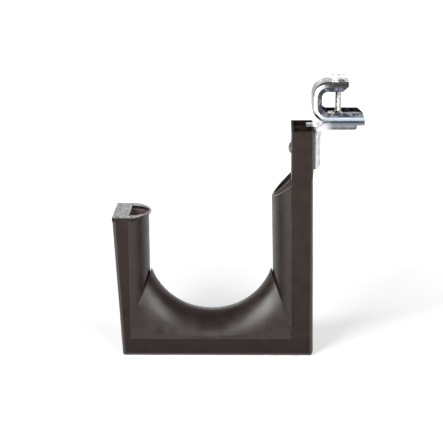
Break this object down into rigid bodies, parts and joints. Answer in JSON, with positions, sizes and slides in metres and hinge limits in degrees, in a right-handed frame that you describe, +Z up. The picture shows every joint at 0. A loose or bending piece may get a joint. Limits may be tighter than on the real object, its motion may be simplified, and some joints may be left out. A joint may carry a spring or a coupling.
{
  "type": "j hook cable support",
  "caption": "Moulded J hook with a wide flared saddle for data cable bundles, riveted to a steel angle bracket with a swivelling screw-tightened beam clamp.",
  "frame": {"origin": "on the base plane, below the middle of the saddle, at mid-depth", "axes": "+X from the front post to the spine and the beam clamp's mouth, +Y along the cables, +Z up"},
  "size_m": [0.203, 0.0508, 0.2299],
  "materials": {
    "hook_plastic": "fine satin, moulded",
    "plated_steel": "zinc plated, soft sheen",
    "bright_steel": "zinc plated, bright"
  },
  "bodies": {
    "hook": {"hook_body": "hook_plastic", "angle_bracket": "plated_steel", "bracket_rivet": "bright_steel", "swivel_rivet": "bright_steel"},
    "clamp": {"beam_clamp": "plated_steel"},
    "screw": {"clamp_screw": "bright_steel"}
  },
  "joints": [
    {"name": "clamp_swivel", "type": "hinge", "parent": "hook", "child": "clamp", "pos_m": [0.1006, 0, 0.1937], "axis": [0, 0, 1], "continuous": true},
    {"name": "screw_travel", "type": "slide", "parent": "clamp", "child": "screw", "axis": [0, 0, 1], "range_m": [0, 0.015]}
  ]
}
